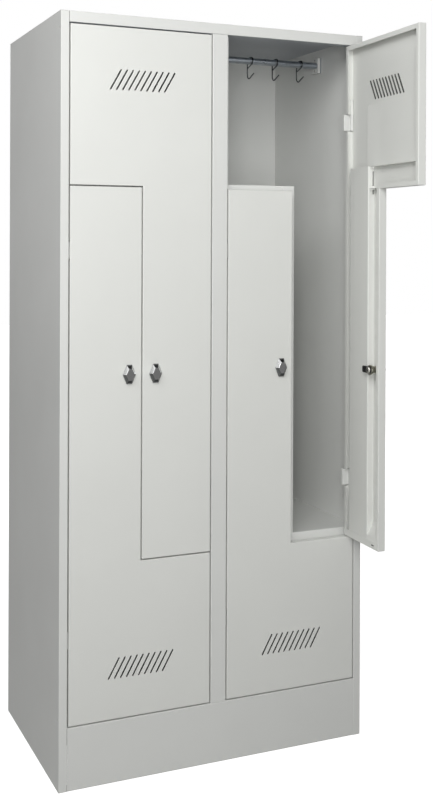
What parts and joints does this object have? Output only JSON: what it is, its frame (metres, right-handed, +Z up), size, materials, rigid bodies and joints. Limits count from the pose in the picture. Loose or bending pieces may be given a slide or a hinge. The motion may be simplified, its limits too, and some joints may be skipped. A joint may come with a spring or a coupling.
{
  "type": "z locker",
  "caption": "Free-standing painted steel Z locker with interlocking L-shaped doors, one open, vent slots, turn-knob locks, coat rails and sliding hooks on a plinth.",
  "frame": {"origin": "on the floor, under the middle of the carcass's width and depth", "axes": "+X to the right seen from the front, +Y from the doors to the back, +Z up"},
  "size_m": [0.8, 0.8442, 1.8],
  "materials": {
    "body_paint": "satin powder coat",
    "door_paint": "satin powder coat",
    "zinc": "plated zinc casting",
    "lock_steel": "turned and plated",
    "rail_steel": "galvanised",
    "black_steel": "black"
  },
  "bodies": {
    "carcass": {"left_side": "body_paint", "right_side": "body_paint", "roof": "body_paint", "plinth": "body_paint", "floor_pan": "body_paint", "floor_bearer": "body_paint", "back_panel": "body_paint", "centre_post": "body_paint", "centre_partition": "body_paint", "left_upper_shelf": "body_paint", "left_divider": "body_paint", "left_lower_shelf": "body_paint", "left_upper_rail": "rail_steel", "left_lower_rail": "rail_steel", "upper_left_end_hinge_leaf": "body_paint", "upper_left_leg_hinge_leaf": "body_paint", "lower_left_end_hinge_leaf": "body_paint", "lower_left_leg_hinge_leaf": "body_paint", "right_upper_shelf": "body_paint", "right_divider": "body_paint", "right_lower_shelf": "body_paint", "right_upper_rail": "rail_steel", "right_lower_rail": "rail_steel", "upper_right_end_hinge_leaf": "body_paint", "upper_right_leg_hinge_leaf": "body_paint", "lower_right_end_hinge_leaf": "body_paint", "lower_right_leg_hinge_leaf": "body_paint"},
    "left_upper_hook_1": {"left_upper_hook_1": "black_steel"},
    "left_upper_hook_2": {"left_upper_hook_2": "black_steel"},
    "left_upper_hook_3": {"left_upper_hook_3": "black_steel"},
    "left_lower_hook": {"left_lower_hook": "black_steel"},
    "upper_left_door": {"upper_left_door": "door_paint", "upper_left_leg_stiffener": "door_paint", "upper_left_step_stiffener": "door_paint", "upper_left_lock_body": "lock_steel"},
    "upper_left_lock": {"upper_left_knob": "zinc", "upper_left_tongue": "black_steel"},
    "lower_left_door": {"lower_left_door": "door_paint", "lower_left_leg_stiffener": "door_paint", "lower_left_step_stiffener": "door_paint", "lower_left_lock_body": "lock_steel"},
    "lower_left_lock": {"lower_left_knob": "zinc", "lower_left_tongue": "black_steel"},
    "right_upper_hook_1": {"right_upper_hook_1": "black_steel"},
    "right_upper_hook_2": {"right_upper_hook_2": "black_steel"},
    "right_upper_hook_3": {"right_upper_hook_3": "black_steel"},
    "right_lower_hook": {"right_lower_hook": "black_steel"},
    "upper_right_door": {"upper_right_door": "door_paint", "upper_right_leg_stiffener": "door_paint", "upper_right_step_stiffener": "door_paint", "upper_right_lock_body": "lock_steel"},
    "upper_right_lock": {"upper_right_knob": "zinc", "upper_right_tongue": "black_steel"},
    "lower_right_door": {"lower_right_door": "door_paint", "lower_right_leg_stiffener": "door_paint", "lower_right_step_stiffener": "door_paint", "lower_right_lock_body": "lock_steel"},
    "lower_right_lock": {"lower_right_knob": "zinc", "lower_right_tongue": "black_steel"}
  },
  "joints": [
    {"name": "upper_left_door_hinge", "type": "hinge", "parent": "carcass", "child": "upper_left_door", "pos_m": [-0.0278, -0.2452, 1.14375], "axis": [0, 0, 1], "range_deg": [0, 92]},
    {"name": "upper_left_knob_turn", "type": "hinge", "parent": "upper_left_door", "child": "upper_left_lock", "pos_m": [-0.167, -0.25, 0.956], "axis": [0, 1, 0], "range_deg": [0, 180]},
    {"name": "lower_left_door_hinge", "type": "hinge", "parent": "carcass", "child": "lower_left_door", "pos_m": [-0.3722, -0.2452, 0.77275], "axis": [0, 0, -1], "range_deg": [0, 92]},
    {"name": "lower_left_knob_turn", "type": "hinge", "parent": "lower_left_door", "child": "lower_left_lock", "pos_m": [-0.233, -0.25, 0.956], "axis": [0, -1, 0], "range_deg": [0, 180]},
    {"name": "upper_right_door_hinge", "type": "hinge", "parent": "carcass", "child": "upper_right_door", "pos_m": [0.3722, -0.2452, 1.14375], "axis": [0, 0, 1], "range_deg": [-87.5, 4.5]},
    {"name": "upper_right_knob_turn", "type": "hinge", "parent": "upper_right_door", "child": "upper_right_lock", "pos_m": [0.37092, -0.38448, 0.956], "axis": [-0.999, 0.0436, 0], "range_deg": [0, 180]},
    {"name": "lower_right_door_hinge", "type": "hinge", "parent": "carcass", "child": "lower_right_door", "pos_m": [0.0278, -0.2452, 0.77275], "axis": [0, 0, -1], "range_deg": [0, 92]},
    {"name": "lower_right_knob_turn", "type": "hinge", "parent": "lower_right_door", "child": "lower_right_lock", "pos_m": [0.167, -0.25, 0.956], "axis": [0, -1, 0], "range_deg": [0, 180]},
    {"name": "left_upper_hook_1_slide", "type": "slide", "parent": "carcass", "child": "left_upper_hook_1", "axis": [1, 0, 0], "range_m": [-0.03, 0.03]},
    {"name": "left_upper_hook_2_slide", "type": "slide", "parent": "carcass", "child": "left_upper_hook_2", "axis": [1, 0, 0], "range_m": [-0.03, 0.03]},
    {"name": "left_upper_hook_3_slide", "type": "slide", "parent": "carcass", "child": "left_upper_hook_3", "axis": [1, 0, 0], "range_m": [-0.03, 0.03]},
    {"name": "left_lower_hook_slide", "type": "slide", "parent": "carcass", "child": "left_lower_hook", "axis": [1, 0, 0], "range_m": [-0.06, 0.06]},
    {"name": "right_upper_hook_1_slide", "type": "slide", "parent": "carcass", "child": "right_upper_hook_1", "axis": [1, 0, 0], "range_m": [-0.03, 0.03]},
    {"name": "right_upper_hook_2_slide", "type": "slide", "parent": "carcass", "child": "right_upper_hook_2", "axis": [1, 0, 0], "range_m": [-0.03, 0.03]},
    {"name": "right_upper_hook_3_slide", "type": "slide", "parent": "carcass", "child": "right_upper_hook_3", "axis": [1, 0, 0], "range_m": [-0.03, 0.03]},
    {"name": "right_lower_hook_slide", "type": "slide", "parent": "carcass", "child": "right_lower_hook", "axis": [1, 0, 0], "range_m": [-0.06, 0.06]}
  ]
}
